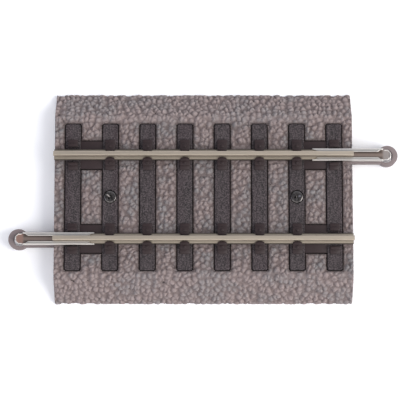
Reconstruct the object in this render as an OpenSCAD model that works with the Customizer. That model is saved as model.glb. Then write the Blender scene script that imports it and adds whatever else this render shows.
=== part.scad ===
// Short straight model-railway track section on a moulded ballast bed.
// +X runs along the rails, +Y points to the back rail, +Z is up.
// The origin is the middle of the bed's underside. The section matches itself when
// turned half a turn about +Z: each end has one joiner on its tongue and one socket.

/* [Section] */
// Length of each rail, and so of the section (mm)
section_length = 61.88; // [56:0.01:72]
// Number of sleepers
sleeper_count = 8; // [7:1:8]
// Distance between the inner faces of the rail heads (mm)
gauge = 16.5; // [14:0.1:18]

/* [Ballast bed] */
// Width of the bed at its foot (mm)
bed_base_w = 43.5; // [42:0.1:48]
// Width of the flat top between the shoulders (mm)
bed_top_w = 34; // [33:0.1:36]
// Height of the ballast top above the table (mm)
bed_top = 4.1; // [4:0.05:4.15]
// Height of the upright edge at the bed's foot (mm)
bed_edge = 0.3; // [0.2:0.05:0.6]
// Thickness of the sloping walls, measured level (mm)
bed_wall = 1.8; // [1.4:0.1:2.2]
// Thickness of the end walls (mm)
end_wall = 1.5; // [1.2:0.1:2]
// Height of the underside of the top plate (mm)
plate_under = 2.4; // [1.8:0.05:2.5]
// Thickness of the bed left between a sleeper pocket and the socket below it (mm)
socket_roof = 0.35; // [0.25:0.05:0.4]
// How far the rails stand past the bed at each end (mm)
end_gap = 0.04; // [0.02:0.01:0.2]

/* [Tongue and socket] */
// Distance from the rail end to the middle of the click ring's hole (mm)
ring_reach = 7.06; // [6.8:0.02:7.4]
// How far the ring's outside is centred past its hole (mm)
ring_offset = 0.3; // [0:0.05:0.4]
// Outer radius of the click ring (mm)
ring_r = 2.15; // [2:0.05:2.4]
// Radius of the click ring's hole (mm)
ring_hole_r = 1.4; // [1.35:0.01:1.45]
// Width of the tongue's neck (mm)
neck_w = 3.16; // [2.8:0.02:3.6]
// Underside of the tongue (mm)
tongue_low = 0.9; // [0.6:0.05:1.2]
// Top of the tongue (mm)
tongue_top = 3; // [2.7:0.05:3.05]
// Width of the socket that takes the next section's tongue (mm)
socket_w = 5; // [4.9:0.05:5.3]
// Radius of the stud that clicks into the next section's ring (mm)
stud_r = 1.28; // [1.2:0.01:1.33]
// Height of the stud (mm)
stud_h = 0.65; // [0.4:0.05:0.8]

/* [Sleepers] */
// Width of a sleeper, along the rails (mm)
sleeper_w = 3.1; // [2.9:0.05:3.4]
// Length of a sleeper, across the rails (mm)
sleeper_len = 30.36; // [29:0.02:31.5]
// Height of the sleeper tops above the table (mm)
sleeper_top = 4.5; // [4.45:0.05:4.6]
// Thickness of a sleeper (mm)
sleeper_t = 1; // [0.9:0.05:1.05]
// Corner radius of a sleeper seen from above (mm)
sleeper_corner = 0.35; // [0.2:0.05:0.6]
// Gap round each sleeper in its pocket (mm)
pocket_gap = 0.22; // [0.1:0.01:0.3]
// Width of the wide webs between the outer two sleepers (mm)
end_web_w = 5.8; // [5.4:0.05:6.2]
// Height of the top of the wide webs (mm)
end_web_top = 4.2; // [4.15:0.01:4.22]
// Width of the narrow webs hidden under the rails (mm)
web_w = 1.6; // [1.2:0.05:2]
// Width of the joiner recess across an outer sleeper (mm)
joiner_recess_w = 3.1; // [2.9:0.02:3.4]

/* [Chairs] */
// Width of a rail chair, along the rail (mm)
chair_w = 2.05; // [1.8:0.05:2.4]
// Reach of the chair's base plate from the rail's centre (mm)
chair_plate_reach = 3.17; // [2.8:0.05:3.4]
// Reach of the chair's raised jaw from the rail's centre (mm)
chair_jaw_reach = 2.35; // [2:0.05:2.6]
// Height of the base plate above the sleeper (mm)
chair_plate_h = 0.35; // [0.2:0.05:0.45]
// Height of the jaw above the sleeper (mm)
chair_jaw_h = 0.85; // [0.7:0.05:1]
// Gap between the jaw's tip and the rail's centre (mm)
chair_tip_gap = 0.55; // [0.5:0.05:0.7]

/* [Rails] */
// Height of the rail (mm)
rail_h = 2.5; // [2.3:0.05:2.7]
// Width of the rail head (mm)
head_w = 0.95; // [0.85:0.01:1.05]
// Width of the rail foot (mm)
foot_w = 2.2; // [2.1:0.02:2.2]
// Thickness of the rail foot (mm)
foot_t = 0.45; // [0.35:0.01:0.45]
// Thickness of the rail's web (mm)
rail_web_w = 0.6; // [0.5:0.01:0.65]

/* [Joiners] */
// Overall width of a folded joiner (mm)
joiner_w = 2.66; // [2.66:0.01:2.8]
// Thickness of the joiner's sheet (mm)
sheet_t = 0.2; // [0.15:0.01:0.2]
// Clearance between the joiner and the rail foot (mm)
joiner_play = 0.03; // [0.02:0.005:0.03]
// Length of rail foot that the joiner grips (mm)
joiner_grip = 8.45; // [7.5:0.05:8.8]
// How far the joiner's folded sides reach past the rail end (mm)
joiner_out = 6.3; // [6:0.05:6.6]
// How far the joiner's tip reaches past the rail end (mm)
joiner_tip = 7.92; // [7.7:0.02:8]
// Half width of the square end of the joiner's tip (mm)
joiner_tip_half = 0.45; // [0.3:0.05:0.6]
// Size of the two cut corners beside the tip's end (mm)
joiner_tip_corner = 0.7; // [0.5:0.05:0.75]
// Width of the slot between the joiner's lips (mm)
lip_slot = 1.1; // [0.95:0.01:1.2]
// Length by which the lips' inner edges are cut back (mm)
lip_cut = 1.1; // [0.6:0.05:1.4]

/* [Screws] */
// Radius of the screw head (mm)
screw_head_r = 1.3; // [1.15:0.01:1.35]
// Radius of the sleeper's counterbore round the head (mm)
counterbore_r = 1.42; // [1.38:0.01:1.45]
// Height of the screw head (mm)
screw_head_h = 0.47; // [0.4:0.01:0.5]
// Core radius of the screw's thread (mm)
screw_core_r = 0.6; // [0.5:0.01:0.65]
// Outer radius of the screw's thread (mm)
screw_thread_r = 0.78; // [0.7:0.01:0.82]
// Thread pitch (mm)
screw_pitch = 0.5; // [0.4:0.05:0.6]

/* [Hidden] */
$fn = 64;
over = 1;
weld = 0.1;
pitch = section_length / sleeper_count;
rail_y = (gauge + head_w) / 2;
rail_end = section_length / 2;
bed_end = rail_end - end_gap;
grid_under = sleeper_top - sleeper_t;
outer_x = (sleeper_count - 1) * pitch / 2;
second_x = outer_x - pitch;
slope = (bed_base_w - bed_top_w) / 2 / (bed_top - bed_edge);
hollow_half = bed_base_w / 2 - bed_wall;
hollow_top_half = hollow_half - slope * (plate_under - bed_edge);
ring_x = rail_end + ring_reach;
stud_x = rail_end - ring_reach;
socket_spare = 0.3;
socket_depth = ring_reach + ring_offset + ring_r + socket_spare;
socket_top = grid_under - socket_roof;
cheek_t = 0.8;
rib_t = 1;
rib_low = 0.3;
root_len = 5;
boss_r = 1.9;
shaft_play = 0.07;
shaft_hole_r = screw_thread_r + shaft_play;
head_sunk = 0.08;
head_under = sleeper_top - head_sunk - screw_head_h;
screw_tip = 0.6;
slot_len = 1.7;
slot_w = 0.42;
slot_h = 0.3;
slot_turn = 30;
joiner_low = sleeper_top - joiner_play - sheet_t;
lip_low = sleeper_top + foot_t + joiner_play;
ballast_col = [0.51, 0.47, 0.46];
sleeper_col = [0.22, 0.19, 0.19];
rail_col = [0.66, 0.61, 0.55];
joiner_col = [0.78, 0.76, 0.74];
screw_col = [0.12, 0.11, 0.11];

// Repeats a feature of the left end at the right end, half a turn round.
module at_both_ends() {
    children();
    rotate([0, 0, 180]) children();
}

// Extrudes a cross-section drawn in Y and Z from x0 to x1.
module along_x(x0, x1) {
    translate([x0, 0, 0]) rotate([90, 0, 90]) linear_extrude(x1 - x0) children();
}

// A box given by its low and high corners.
module block(low, high) {
    translate(low) cube(high - low);
}

// A flat plate with rounded corners, centred on the Z axis.
module rounded_plate(size_x, size_y, r, z0, z1) {
    translate([0, 0, z0]) linear_extrude(z1 - z0) {
        square([size_x - 2 * r, size_y], center = true);
        square([size_x, size_y - 2 * r], center = true);
        for (sx = [-1, 1], sy = [-1, 1])
            translate([sx * (size_x / 2 - r), sy * (size_y / 2 - r)]) circle(r);
    }
}

// The bed's outside, from foot to ballast top.
module bed_section() {
    polygon([[-bed_base_w / 2, 0], [-bed_base_w / 2, bed_edge], [-bed_top_w / 2, bed_top],
             [bed_top_w / 2, bed_top], [bed_base_w / 2, bed_edge], [bed_base_w / 2, 0]]);
}

// The hollow under the bed.
module hollow_section() {
    polygon([[-hollow_half, -over], [-hollow_half, bed_edge], [-hollow_top_half, plate_under],
             [hollow_top_half, plate_under], [hollow_half, bed_edge], [hollow_half, -over]]);
}

// The left tongue: a neck from the end wall, ending in the click ring.
module tongue() {
    translate([0, -rail_y, 0]) {
        block([-ring_x, -neck_w / 2, tongue_low], [-bed_end + root_len, neck_w / 2, tongue_top]);
        translate([-ring_x - ring_offset, 0, tongue_low])
            cylinder(r = ring_r, h = tongue_top - tongue_low);
    }
}

// The hole through the click ring.
module ring_hole() {
    translate([-ring_x, -rail_y, -over]) cylinder(r = ring_hole_r, h = bed_top + over);
}

// The two cheeks that guide the next section's tongue at the left end.
module socket_cheeks() {
    for (side = [-1, 1])
        translate([0, rail_y + side * (socket_w + cheek_t) / 2, 0])
            block([-bed_end + over / 2, -cheek_t / 2, rib_low],
                  [-bed_end + socket_depth, cheek_t / 2, plate_under + weld]);
}

// The space for the next section's tongue at the left end.
module socket_space() {
    block([-bed_end - over, rail_y - socket_w / 2, -over],
          [-bed_end + socket_depth, rail_y + socket_w / 2, socket_top]);
}

// Pockets and slots that the sleeper moulding drops into.
module grid_pockets() {
    for (i = [0:sleeper_count - 1])
        translate([i * pitch - outer_x, 0, 0])
            rounded_plate(sleeper_w + 2 * pocket_gap, sleeper_len + 2 * pocket_gap,
                          sleeper_corner + pocket_gap, grid_under, bed_top + over);
    for (side = [-1, 1])
        translate([0, side * rail_y, 0]) {
            block([-outer_x, -web_w / 2 - pocket_gap, grid_under],
                  [outer_x, web_w / 2 + pocket_gap, bed_top + over]);
            for (end = [-1, 1])
                translate([end * (outer_x + second_x) / 2, 0, 0])
                    block([-pitch / 2, -end_web_w / 2 - pocket_gap, grid_under],
                          [pitch / 2, end_web_w / 2 + pocket_gap, bed_top + over]);
        }
}

// Stiffening ribs under the top plate.
module bed_ribs() {
    for (x = [-pitch, pitch])
        block([x - rib_t / 2, -hollow_top_half - over / 2, rib_low],
              [x + rib_t / 2, hollow_top_half + over / 2, plate_under + weld]);
    for (x = [-second_x, second_x])
        translate([x, 0, rib_low]) cylinder(r = boss_r, h = plate_under + weld - rib_low);
}

// The stud that clicks into the next section's ring at the left end.
module click_stud() {
    translate([-stud_x, rail_y, socket_top - stud_h])
        cylinder(r = stud_r, h = stud_h + socket_roof / 2);
}

module ballast_bed() {
    color(ballast_col) union() {
        difference() {
            union() {
                difference() {
                    along_x(-bed_end, bed_end) bed_section();
                    along_x(-bed_end + end_wall, bed_end - end_wall) hollow_section();
                }
                bed_ribs();
                at_both_ends() tongue();
                at_both_ends() socket_cheeks();
            }
            grid_pockets();
            at_both_ends() ring_hole();
            at_both_ends() socket_space();
            for (x = [-second_x, second_x])
                translate([x, 0, rib_low - over]) cylinder(r = screw_core_r, h = bed_top + over);
        }
        at_both_ends() click_stud();
    }
}

// The jaw and base plate of a chair on one side of a rail.
module half_chair() {
    tip_r = chair_w / 4;
    jaw_len = chair_jaw_reach - chair_tip_gap - tip_r;
    translate([0, 0, sleeper_top - weld]) linear_extrude(chair_jaw_h + weld) {
        translate([-chair_w / 2, chair_tip_gap + tip_r]) square([chair_w, jaw_len]);
        translate([-chair_w / 2 + tip_r, chair_tip_gap]) square([chair_w - 2 * tip_r, 2 * tip_r]);
        for (sx = [-1, 1])
            translate([sx * (chair_w / 2 - tip_r), chair_tip_gap + tip_r]) circle(tip_r);
    }
    block([-chair_w / 2, chair_tip_gap + tip_r, sleeper_top - weld],
          [chair_w / 2, chair_plate_reach, sleeper_top + chair_plate_h]);
}

// A chair with its channel for the rail foot.
module chair() {
    difference() {
        union() {
            half_chair();
            mirror([0, 1, 0]) half_chair();
        }
        block([-chair_w, -foot_w / 2, sleeper_top], [chair_w, foot_w / 2, sleeper_top + foot_t]);
    }
}

module sleeper_grid() {
    color(sleeper_col) difference() {
        union() {
            for (i = [0:sleeper_count - 1])
                translate([i * pitch - outer_x, 0, 0])
                    rounded_plate(sleeper_w, sleeper_len, sleeper_corner, grid_under, sleeper_top);
            for (side = [-1, 1])
                translate([0, side * rail_y, 0]) {
                    block([-second_x, -web_w / 2, grid_under], [second_x, web_w / 2, sleeper_top - weld]);
                    for (end = [-1, 1])
                        translate([end * (outer_x + second_x) / 2, 0, 0])
                            block([-pitch / 2, -end_web_w / 2, grid_under],
                                  [pitch / 2, end_web_w / 2, end_web_top]);
                    for (i = [0:sleeper_count - 1])
                        translate([i * pitch - outer_x, 0, 0]) chair();
                }
        }
        for (end = [-1, 1], side = [-1, 1])
            translate([end * outer_x, side * rail_y, 0])
                block([-sleeper_w, -joiner_recess_w / 2, end_web_top],
                      [sleeper_w, joiner_recess_w / 2, sleeper_top + 2 * over]);
        for (x = [-second_x, second_x]) {
            translate([x, 0, head_under]) cylinder(r = counterbore_r, h = over);
            translate([x, 0, grid_under - over]) cylinder(r = shaft_hole_r, h = 2 * over);
        }
    }
}

// A rail standing on the sleepers, centred on the X axis.
module rail() {
    half_foot = foot_w / 2;
    half_web = rail_web_w / 2;
    half_head = head_w / 2;
    fillet = 0.15;
    edge = 0.1;
    chin = rail_h - 0.7;
    half = [[half_foot, 0], [half_foot, foot_t], [lip_slot / 2, foot_t], [half_web, foot_t + fillet],
            [half_web, chin - fillet], [half_head, chin], [half_head, rail_h - edge],
            [half_head - edge, rail_h]];
    last = len(half) - 1;
    other_half = [for (i = [0:last]) [-half[last - i][0], half[last - i][1]]];
    translate([0, 0, sleeper_top]) along_x(-rail_end, rail_end) polygon(concat(half, other_half));
}

module front_rail() {
    color(rail_col) translate([0, -rail_y, 0]) rail();
}

module back_rail() {
    color(rail_col) translate([0, rail_y, 0]) rail();
}

// A joiner folded from sheet round the foot of the front rail's left end.
module joiner() {
    inner = -rail_end + joiner_grip;
    outer = -rail_end - joiner_out;
    half = joiner_w / 2;
    tip = -rail_end - joiner_tip;
    tip_side = joiner_tip_half + joiner_tip_corner;
    wall_h = lip_low + sheet_t - joiner_low;
    translate([0, -rail_y, joiner_low]) {
        linear_extrude(sheet_t)
            polygon([[inner, -half], [outer, -half], [tip + joiner_tip_corner, -tip_side],
                     [tip, -joiner_tip_half], [tip, joiner_tip_half],
                     [tip + joiner_tip_corner, tip_side], [outer, half], [inner, half]]);
        for (side = [0, 1])
            mirror([0, side, 0]) {
                block([outer, half - sheet_t, 0], [inner, half, wall_h]);
                translate([0, 0, wall_h - sheet_t]) linear_extrude(sheet_t)
                    polygon([[outer, half], [inner, half], [inner, half - sheet_t],
                             [inner - lip_cut, lip_slot / 2], [outer + lip_cut, lip_slot / 2],
                             [outer, half - sheet_t]]);
            }
    }
}

module left_joiner() {
    color(joiner_col) joiner();
}

module right_joiner() {
    color(joiner_col) rotate([0, 0, 180]) joiner();
}

// A short cross-recess screw standing in a sleeper, head up.
module screw() {
    plain = 0.4;
    turns = floor((head_under - screw_tip - plain) / screw_pitch);
    difference() {
        union() {
            translate([0, 0, head_under]) cylinder(r = screw_head_r, h = screw_head_h);
            translate([0, 0, screw_tip]) cylinder(r = screw_core_r, h = head_under - screw_tip);
            for (i = [0:turns - 1])
                translate([0, 0, screw_tip + weld + i * screw_pitch]) rotate_extrude()
                    polygon([[0, 0], [screw_core_r, 0], [screw_thread_r, screw_pitch * 0.4],
                             [screw_core_r, screw_pitch * 0.7], [0, screw_pitch * 0.7]]);
        }
        for (turn = [0, 90])
            rotate([0, 0, turn + slot_turn])
                block([-slot_len / 2, -slot_w / 2, head_under + screw_head_h - slot_h],
                      [slot_len / 2, slot_w / 2, head_under + screw_head_h + over]);
    }
}

module left_screw() {
    color(screw_col) translate([-second_x, 0, 0]) rotate([0, 0, 18]) screw();
}

module right_screw() {
    color(screw_col) translate([second_x, 0, 0]) rotate([0, 0, -12]) screw();
}

ballast_bed();
sleeper_grid();
front_rail();
back_rail();
left_joiner();
right_joiner();
left_screw();
right_screw();
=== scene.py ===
"""Looks for a short straight model-railway track section, built round its CAD frame."""

import math

import bmesh
import bpy
import numpy as np
from bpy.props import FloatProperty, FloatVectorProperty, IntProperty, PointerProperty
from mathutils import Matrix, Vector


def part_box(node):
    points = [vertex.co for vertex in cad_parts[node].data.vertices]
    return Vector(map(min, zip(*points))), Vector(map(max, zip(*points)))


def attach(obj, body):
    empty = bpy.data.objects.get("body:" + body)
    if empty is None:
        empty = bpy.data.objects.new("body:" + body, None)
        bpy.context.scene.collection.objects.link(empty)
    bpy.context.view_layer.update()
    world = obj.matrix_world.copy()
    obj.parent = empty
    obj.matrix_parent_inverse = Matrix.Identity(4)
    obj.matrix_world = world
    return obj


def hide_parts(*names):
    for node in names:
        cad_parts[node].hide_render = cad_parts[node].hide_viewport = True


bl_info = {
    "name": "Model track section",
    "version": (1, 0, 0),
    "blender": (4, 5, 0),
    "location": "View3D > Sidebar > Track section",
    "description": "Ballast, sleepers, rails, joiners and screws of a short track section",
    "category": "Object",
}

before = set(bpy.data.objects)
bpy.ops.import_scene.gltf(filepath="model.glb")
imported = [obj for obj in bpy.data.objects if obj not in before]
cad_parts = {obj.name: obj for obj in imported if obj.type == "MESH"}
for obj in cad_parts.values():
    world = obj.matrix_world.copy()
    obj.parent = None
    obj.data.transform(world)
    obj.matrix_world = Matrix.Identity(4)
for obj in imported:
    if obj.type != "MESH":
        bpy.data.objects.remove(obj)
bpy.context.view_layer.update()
MM = 0.001
TRACK = "track"
BED_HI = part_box("ballast_bed")[1]
GRID_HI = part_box("sleeper_grid")[1]
FRONT_LO, FRONT_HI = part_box("front_rail")
BACK_LO, BACK_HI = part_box("back_rail")
JOIN_LO, JOIN_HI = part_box("left_joiner")
SCREW_LO, SCREW_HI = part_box("right_screw")

RAIL_END = FRONT_HI.x
RAIL_Y = BACK_HI.y - (BACK_HI.y - BACK_LO.y) / 2
RAIL_TOP = FRONT_HI.z
SLEEPER_TOP = FRONT_LO.z
SLEEPERS = 8
HALF_SLEEPER = 1.55 * MM
PITCH = 2 * (GRID_HI.x - HALF_SLEEPER) / (SLEEPERS - 1)
OUTER_STEP = (SLEEPERS - 1) / 2
RAIL_OVERHANG = 0.04 * MM
BED_END = RAIL_END - RAIL_OVERHANG
SCREW_X = (SCREW_LO.x + SCREW_HI.x) / 2
SCREW_TOP = SCREW_HI.z


# ---------------------------------------------------------------- settings


def length(name, description, default_mm):
    return FloatProperty(
        name=name, description=description, default=default_mm * MM, unit="LENGTH", precision=5
    )


def colour(name, description, rgb):
    return FloatVectorProperty(
        name=name, description=description, default=rgb, subtype="COLOR", size=3, min=0, max=1
    )


class BallastSettings(bpy.types.PropertyGroup):
    stone_size: length("Stone size", "Distance from one stone's middle to the next", 1.08)
    relief: length("Relief", "How far the stones stand out of the bed", 0.68)
    wander: length("Wander", "How far a stone's outline strays from straight", 0.42)
    step: length("Mesh step", "Spacing of the relief's mesh", 0.155)
    pocket_gap: length("Pocket gap", "Gap between the stones and a sleeper", 0.19)
    slab: length("Slab depth", "How deep the relief's underside lies in the bed", 0.30)
    bed_top: length("Bed top", "Height of the ballast top above the table", 4.1)
    top_half: length("Top half width", "Half the width of the flat top", 17.0)
    edge_height: length("Edge height", "Height of the upright edge at the foot", 0.3)
    seed: IntProperty(name="Seed", description="Fixes where every stone lies", default=7)
    stone_warm: colour("Warm stone", "Colour of the warmer stones", (0.270, 0.220, 0.212))
    stone_cool: colour("Cool stone", "Colour of the blue-grey stones", (0.204, 0.207, 0.212))
    # Painted shade: this colour darkens the gaps between stones, and more deeply the ground near the
    # pockets and rails.
    crevice_shade: colour("Crevice", "Colour in the gaps between stones", (0.070, 0.046, 0.042))
    moulding: colour("Moulding", "Colour of the bare plastic", (0.215, 0.175, 0.172))


class SleeperSettings(bpy.types.PropertyGroup):
    width: length("Width", "Sleeper width along the rails", 3.1)
    span: length("Length", "Sleeper length across the rails", 30.36)
    thickness: length("Thickness", "Sleeper thickness", 1.0)
    corner: length("Corner radius", "Corner radius seen from above", 0.4)
    grain_depth: length("Grain depth", "Depth of the wood grain", 0.05)
    web_half: length("Web half width", "Half the width of the wide webs", 2.9)
    slot_half: length("Slot half width", "Half the width of the narrow webs under the rails", 0.8)
    web_top: length("Web height", "Height of the wide webs' tops", 4.2)
    recess_half: length("Recess half width", "Half the width of the joiner recess", 1.55)
    well: length("Screw well", "Radius of the well round a screw head", 1.42)
    plastic: colour("Sleeper plastic", "Colour of the sleepers", (0.0385, 0.0305, 0.0318))
    web_plastic: colour("Web plastic", "Colour of the smooth webs and chairs", (0.027, 0.0158, 0.0162))


class RailSettings(bpy.types.PropertyGroup):
    head: length("Head width", "Width of the rail head", 0.95)
    web: length("Web thickness", "Thickness of the rail's web", 0.6)
    foot: length("Foot width", "Width of the rail foot", 2.2)
    metal: colour("Rail metal", "Colour of the nickel silver", (0.57, 0.492, 0.395))


class JoinerSettings(bpy.types.PropertyGroup):
    sheet: length("Sheet", "Thickness of the joiner's sheet", 0.2)
    slot: length("Slot", "Width of the slot between the lips", 1.1)
    reach: length("Reach", "How far the folded sides reach past the rail end", 6.3)
    lip_cut: length("Lip cut", "Length by which the lips' inner edges are cut back", 1.1)
    channel: colour("Channel", "Colour of the tarnished channel floor", (0.257, 0.195, 0.164))
    # Painted reflection: the left tip is coloured reddish and the right tip greyer, the same sheet shown
    # as each end catches the light.
    tip: colour("Tip", "Colour of the tarnished left tip", (0.36, 0.215, 0.17))
    right_tip: colour("Right tip", "Colour of the duller right tip", (0.34, 0.30, 0.28))
    metal: colour("Joiner metal", "Colour of the bright sheet", (0.81, 0.77, 0.72))


class ScrewSettings(bpy.types.PropertyGroup):
    head: length("Head radius", "Radius of the screw head", 1.3)
    metal: colour("Screw metal", "Colour of the blackened screw", (0.085, 0.078, 0.076))


class StageSettings(bpy.types.PropertyGroup):
    distance: length("Distance", "Camera distance from the middle of the bed", 323.73)
    lens: FloatProperty(name="Lens", description="Focal length in mm", default=138.95)
    tilt: FloatProperty(
        name="Tilt",
        description="Camera tilt from straight down",
        default=math.radians(6.563),
        subtype="ANGLE",
    )
    floor: colour("Floor", "Colour of the pale floor", (0.93, 0.93, 0.94))


SETTINGS = {
    "track_ballast": BallastSettings,
    "track_sleepers": SleeperSettings,
    "track_rails": RailSettings,
    "track_joiners": JoinerSettings,
    "track_screws": ScrewSettings,
    "track_stage": StageSettings,
}


# ---------------------------------------------------------------- node trees


class Val:
    """A node socket that takes part in Python arithmetic."""

    def __init__(self, nodes, socket):
        self.nodes = nodes
        self.socket = socket

    def _math(self, operation, *values):
        return self.nodes.add("ShaderNodeMath", {"operation": operation}, values)

    def __add__(self, other):
        return self._math("ADD", self, other)

    def __sub__(self, other):
        return self._math("SUBTRACT", self, other)

    def __mul__(self, other):
        return self._math("MULTIPLY", self, other)

    def __truediv__(self, other):
        return self._math("DIVIDE", self, other)

    def __radd__(self, other):
        return self._math("ADD", other, self)

    def __rsub__(self, other):
        return self._math("SUBTRACT", other, self)

    def __rmul__(self, other):
        return self._math("MULTIPLY", other, self)

    def __rtruediv__(self, other):
        return self._math("DIVIDE", other, self)

    def __pow__(self, other):
        return self._math("POWER", self, other)

    def __gt__(self, other):
        return self._math("GREATER_THAN", self, other)

    def __abs__(self):
        return self._math("ABSOLUTE", self)

    def beside(self, name):
        """Another output of the same node."""
        return Val(self.nodes, self.socket.node.outputs[name])

    def above(self, edge, soft):
        """0 below edge, 1 above it, with a soft step between."""
        return self.nodes.add(
            "ShaderNodeMapRange",
            {"interpolation_type": "SMOOTHSTEP"},
            {"Value": self, "From Min": edge - soft, "From Max": edge + soft},
        )


class Nodes:
    """A node tree in the making, with the nodes that shaders and geometry share."""

    def __init__(self, tree):
        self.tree = tree

    def put(self, socket, value):
        """Links a value into a socket, or sets the socket to it."""
        if isinstance(value, Val):
            self.tree.links.new(value.socket, socket)
        elif isinstance(value, tuple) and socket.type == "RGBA":
            socket.default_value = (*value[:3], 1.0)
        else:
            socket.default_value = value

    def add(self, kind, settings=None, values=(), out=0):
        """Adds a node: its settings first, then its sockets' values or links."""
        node = self.tree.nodes.new(kind)
        for key, value in (settings or {}).items():
            setattr(node, key, value)
        for key, value in values.items() if isinstance(values, dict) else enumerate(values):
            self.put(node.inputs[key], value)
        return Val(self, node.outputs[out])

    def axes(self, vector):
        first = self.add("ShaderNodeSeparateXYZ", values=[vector])
        return first, first.beside("Y"), first.beside("Z")

    def xyz(self, x=0.0, y=0.0, z=0.0):
        return self.add("ShaderNodeCombineXYZ", values=[x, y, z])

    def vector(self, operation, first, second, out=0):
        return self.add("ShaderNodeVectorMath", {"operation": operation}, [first, second], out)

    def scaled(self, vector, factors):
        """A vector times one factor for each axis."""
        return self.vector("MULTIPLY", vector, factors)

    def stretched(self, vector, factor):
        """A vector times one number."""
        return self.add("ShaderNodeVectorMath", {"operation": "SCALE"}, {0: vector, "Scale": factor})

    def noise(self, vector, scale, detail=3.0, rough=0.55, out=0):
        values = {"Vector": vector, "Scale": scale, "Detail": detail, "Roughness": rough}
        return self.add("ShaderNodeTexNoise", values=values, out=out)


class Sheet(Nodes):
    """Builds the node tree of one material, or of the world where one is given."""

    def __init__(self, name, world=None):
        self.owner = world or bpy.data.materials.new(name)
        self.owner.use_nodes = True
        super().__init__(self.owner.node_tree)
        self.shader = self.tree.nodes["Background" if world else "Principled BSDF"]

    def place(self):
        return self.add("ShaderNodeTexCoord", out="Object")

    def attribute(self, name):
        return self.add("ShaderNodeAttribute", {"attribute_name": name}, out="Fac")

    def mix(self, factor, first, second):
        values = {0: factor, 6: first, 7: second}
        return self.add("ShaderNodeMix", {"data_type": "RGBA"}, values, out=2)

    def bump(self, height, strength, distance):
        values = {"Height": height, "Strength": strength, "Distance": distance}
        return self.add("ShaderNodeBump", values=values)

    def finish(self, **sockets):
        for key, value in sockets.items():
            self.put(self.shader.inputs[key.replace("_", " ")], value)
        return self.owner


class Tree(Nodes):
    """Builds one geometry node tree with named inputs and runs it to a plain mesh."""

    def __init__(self, name):
        super().__init__(bpy.data.node_groups.new(name, "GeometryNodeTree"))
        for way in ("INPUT", "OUTPUT"):
            self.tree.interface.new_socket("Geometry", in_out=way, socket_type="NodeSocketGeometry")
        self.start = self.tree.nodes.new("NodeGroupInput")
        self.end = self.tree.nodes.new("NodeGroupOutput")
        self.values = {}

    def ask(self, name, kind, value):
        """A named input of the tree; value is what the modifier gives it."""
        item = self.tree.interface.new_socket(name, in_out="INPUT", socket_type="NodeSocket" + kind)
        self.values[item.identifier] = value
        return self.given(name)

    def given(self, name="Geometry"):
        return Val(self, self.start.outputs[name])

    def row(self, count, start, step):
        values = {"Count": count, "Start Location": start, "Offset": step}
        return self.add("GeometryNodeMeshLine", {"mode": "OFFSET"}, values)

    def lay(self, points, **more):
        """Lays the given shape on every point."""
        values = {"Points": points, "Instance": self.given(), **more}
        return self.add("GeometryNodeInstanceOnPoints", values=values)

    def store(self, geometry, name, value):
        """Keeps a number on every point under a name that the materials read."""
        return self.add(
            "GeometryNodeStoreNamedAttribute",
            {"data_type": "FLOAT", "domain": "POINT"},
            {"Geometry": geometry, "Name": name, "Value": value},
        )

    def raised(self, geometry, height):
        values = {"Geometry": geometry, "Offset": self.xyz(z=height)}
        return self.add("GeometryNodeSetPosition", values=values)

    def run(self, geometry, material, host, name):
        """Ends the tree and returns its result as a new plain mesh object."""
        plain = self.add("GeometryNodeRealizeInstances", values=[geometry])
        finish = self.ask("Material", "Material", material)
        done = self.add("GeometryNodeSetMaterial", values={"Geometry": plain, "Material": finish})
        self.put(self.end.inputs[0], done)
        modifier = host.modifiers.new(name, "NODES")
        modifier.node_group = self.tree
        for key, value in self.values.items():
            modifier[key] = value
        mesh = evaluated_mesh(host)
        host.modifiers.remove(modifier)
        bpy.data.objects.remove(host)
        if not mesh.polygons:
            raise RuntimeError(f"{name}: the geometry nodes made nothing")
        if material.name not in [m.name for m in mesh.materials if m]:
            mesh.materials.append(material)
        return new_piece(name, mesh)


# ---------------------------------------------------------------- meshes


def new_piece(name, mesh):
    """An object round a mesh, linked into the scene."""
    piece = bpy.data.objects.new(name, mesh)
    bpy.context.scene.collection.objects.link(piece)
    return piece


def piece_from(bm, name):
    """Turns a bmesh into a new object, and frees it."""
    mesh = bpy.data.meshes.new(name)
    bm.to_mesh(mesh)
    bm.free()
    return new_piece(name, mesh)


def mesh_object(name, points, faces, material=None):
    mesh = bpy.data.meshes.new(name)
    mesh.from_pydata([tuple(p) for p in points], [], [tuple(f) for f in faces])
    mesh.validate()
    mesh.update()
    if material:
        mesh.materials.append(material)
    return new_piece(name, mesh)


def coordinates(mesh):
    flat = np.empty(len(mesh.vertices) * 3, np.float32)
    mesh.vertices.foreach_get("co", flat)
    return flat.reshape(-1, 3).astype(float)


def put_coordinates(mesh, points):
    mesh.vertices.foreach_set("co", np.asarray(points, np.float32).ravel())
    mesh.update()


def put_attribute(mesh, name, values):
    layer = mesh.attributes.get(name) or mesh.attributes.new(name, "FLOAT", "POINT")
    layer.data.foreach_set("value", np.asarray(values, np.float32))


def evaluated_mesh(piece):
    """A plain copy of the piece's mesh with its modifiers applied."""
    bpy.context.view_layer.update()
    graph = bpy.context.evaluated_depsgraph_get()
    return bpy.data.meshes.new_from_object(piece.evaluated_get(graph), depsgraph=graph)


def apply_modifiers(piece):
    """Bakes the piece's modifiers into its mesh."""
    mesh, old = evaluated_mesh(piece), piece.data
    piece.modifiers.clear()
    piece.data = mesh
    mesh.name = piece.name
    bpy.data.meshes.remove(old)


def ease_edges(piece, width, segments, angle):
    """Rounds every edge of the piece that is sharper than the angle."""
    ease = piece.modifiers.new("eased_edges", "BEVEL")
    ease.width = width
    ease.segments = segments
    ease.limit_method = "ANGLE"
    ease.angle_limit = math.radians(angle)
    apply_modifiers(piece)


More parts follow.
